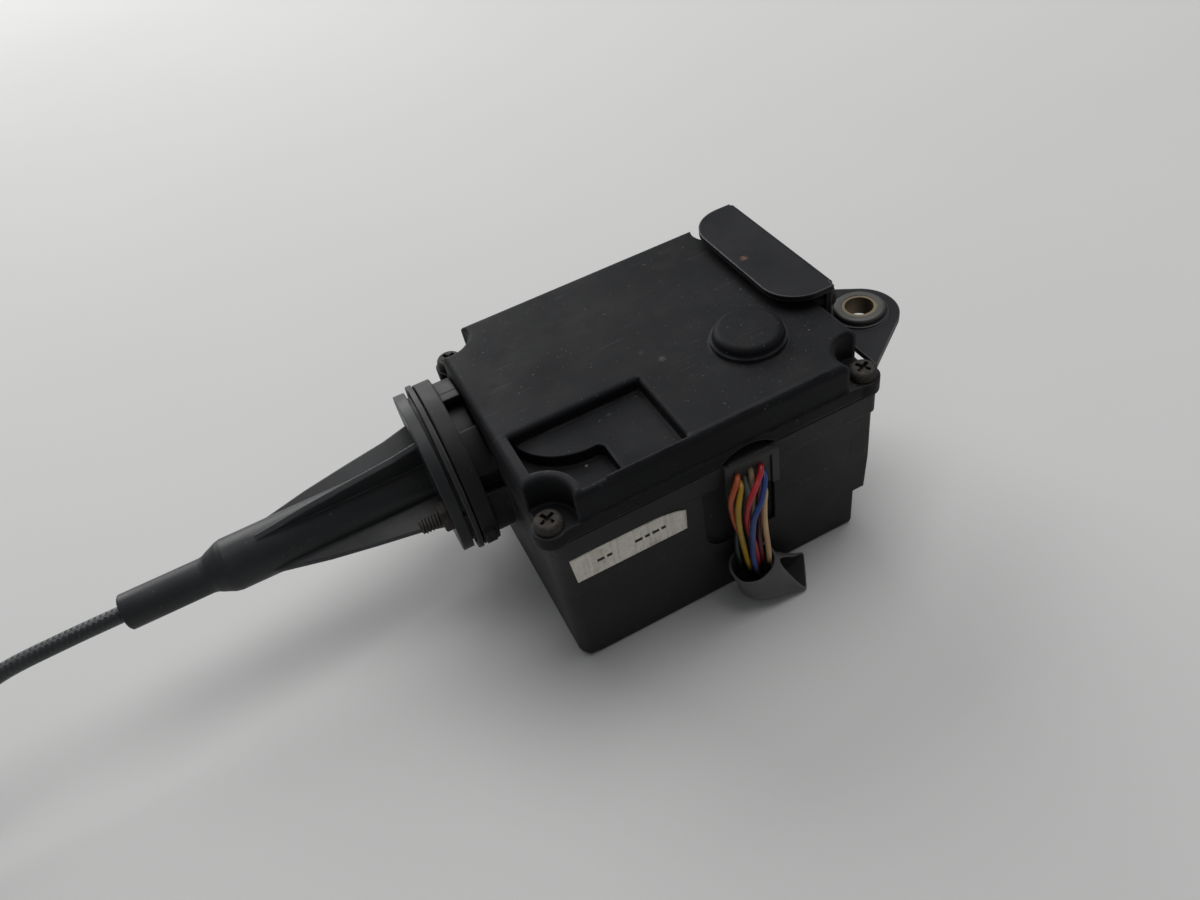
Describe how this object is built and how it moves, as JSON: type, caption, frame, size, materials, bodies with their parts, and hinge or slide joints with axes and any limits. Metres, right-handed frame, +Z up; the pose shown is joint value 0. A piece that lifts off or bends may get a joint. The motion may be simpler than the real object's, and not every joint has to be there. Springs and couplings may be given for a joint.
{
  "type": "cruise control servo",
  "caption": "Electric servo in a two-piece black case with steel ear bracket, finned cable cap, pull cable, wire outlet, and a motor, worm, clutch and drum inside.",
  "frame": {"origin": "middle of the case's flat bottom", "axes": "+X towards the bracket's ear, -X towards the cable, -Y towards the wires, +Z up from the flat bottom"},
  "size_m": [0.3878, 0.1579, 0.0761],
  "materials": {
    "case_plastic": "satin moulded black",
    "cover_plastic": "satin moulded black",
    "cap_plastic": "satin moulded black",
    "gasket_rubber": "soft black",
    "rusty_screw": "rusted",
    "bracket_paint": "black paint",
    "grommet_rubber": "dull black",
    "sleeve_steel": "yellowed plating",
    "pvc_orange": "cable insulation",
    "pvc_yellow": "cable insulation",
    "pvc_grey": "cable insulation",
    "pvc_green": "cable insulation",
    "pvc_tan": "cable insulation",
    "pvc_red": "cable insulation",
    "pvc_blue": "cable insulation",
    "pvc_cream": "cable insulation",
    "pvc_maroon": "cable insulation",
    "pvc_sleeve": "soft grey tube",
    "paper": "aged paper",
    "sheath_plastic": "ribbed sheath",
    "zinc": "zinc plated",
    "steel": "ground steel",
    "spring_steel": "spring wire",
    "bronze": "sintered bronze",
    "brass": "machined brass",
    "acetal": "natural acetal",
    "coil_wire": "wound coil in resin",
    "can_steel": "plated can",
    "black_plastic": "black",
    "board_green": "lacquered board",
    "header_plastic": "natural nylon",
    "capacitor_sleeve": "shrink sleeve",
    "sensor_plastic": "blue plastic"
  },
  "bodies": {
    "case": {"housing": "case_plastic", "cover": "cover_plastic", "cover_gasket": "gasket_rubber", "cover_screws": "rusty_screw", "mounting_bracket": "bracket_paint", "bracket_screws": "rusty_screw", "ear_grommet": "gasket_rubber", "ear_sleeve": "sleeve_steel", "wire_grommet": "grommet_rubber", "wire_orange": "pvc_orange", "wire_yellow": "pvc_yellow", "wire_grey": "pvc_grey", "wire_green": "pvc_green", "wire_tan": "pvc_tan", "wire_red": "pvc_red", "wire_blue": "pvc_blue", "wire_cream": "pvc_cream", "wire_maroon": "pvc_maroon", "wire_sleeve": "pvc_sleeve", "label": "paper", "cable_cap": "cap_plastic", "spacer_ring": "gasket_rubber", "flange_stud": "rusty_screw", "flange_nut": "rusty_screw", "cable_sheath": "sheath_plastic", "cable_coil": "sheath_plastic", "cable_tail": "sheath_plastic", "cable_ferrule": "zinc", "inner_core": "steel", "drum_shaft": "steel", "return_spring": "spring_steel", "clutch_coil": "coil_wire", "coil_cup": "can_steel", "lower_bearing": "bronze", "upper_bearing": "bronze", "shaft_bearing": "bronze", "motor_can": "can_steel", "motor_end_cap": "black_plastic", "motor_clamp": "zinc", "motor_screws": "zinc", "circuit_board": "board_green", "board_screws": "zinc", "wire_header": "header_plastic", "relay": "black_plastic", "capacitors": "capacitor_sleeve", "control_chip": "black_plastic", "position_sensor": "sensor_plastic"},
    "drum": {"cable_drum": "acetal", "drum_bush": "bronze", "core_slug": "zinc", "sensor_rotor": "acetal"},
    "clutch_output": {"clutch_shaft": "steel", "pinion": "brass", "clutch_rotor": "steel"},
    "wheel": {"worm_wheel": "acetal", "worm_wheel_bush": "bronze"},
    "armature": {"clutch_armature": "steel"},
    "motor_rotor": {"motor_shaft": "steel", "worm": "steel"},
    "pull": {"core_end": "zinc"}
  },
  "joints": [
    {"name": "drum_turn", "type": "hinge", "parent": "case", "child": "drum", "pos_m": [-0.015, -0.0015, 0.0415], "axis": [0, 0, -1], "range_deg": [0, 100], "stiffness_Nm_per_rad": 0.03, "deforming": ["return_spring", "inner_core"]},
    {"name": "clutch_shaft_turn", "type": "hinge", "parent": "case", "child": "clutch_output", "pos_m": [0.02652, -0.01752, 0.035], "axis": [0, 0, 1], "range_deg": [0, 207]},
    {"name": "core_pull", "type": "slide", "parent": "case", "child": "pull", "axis": [0, -1, 0], "range_m": [0, 0.035]},
    {"name": "worm_wheel_turn", "type": "hinge", "parent": "case", "child": "wheel", "pos_m": [0.02652, -0.01752, 0.018], "axis": [0, 0, 1], "continuous": true},
    {"name": "worm_turn", "type": "hinge", "parent": "case", "child": "motor_rotor", "pos_m": [0.00652, 0, 0.018], "axis": [0, 1, 0], "continuous": true},
    {"name": "armature_slide", "type": "slide", "parent": "wheel", "child": "armature", "axis": [0, 0, 1], "range_m": [0, 0.0004]}
  ],
  "couplings": [
    {"joint": "clutch_shaft_turn", "follows": "drum_turn", "ratio": 2.069},
    {"joint": "core_pull", "follows": "drum_turn", "m_per_rad": 0.02},
    {"joint": "worm_wheel_turn", "follows": "worm_turn", "ratio": 0.033333}
  ]
}
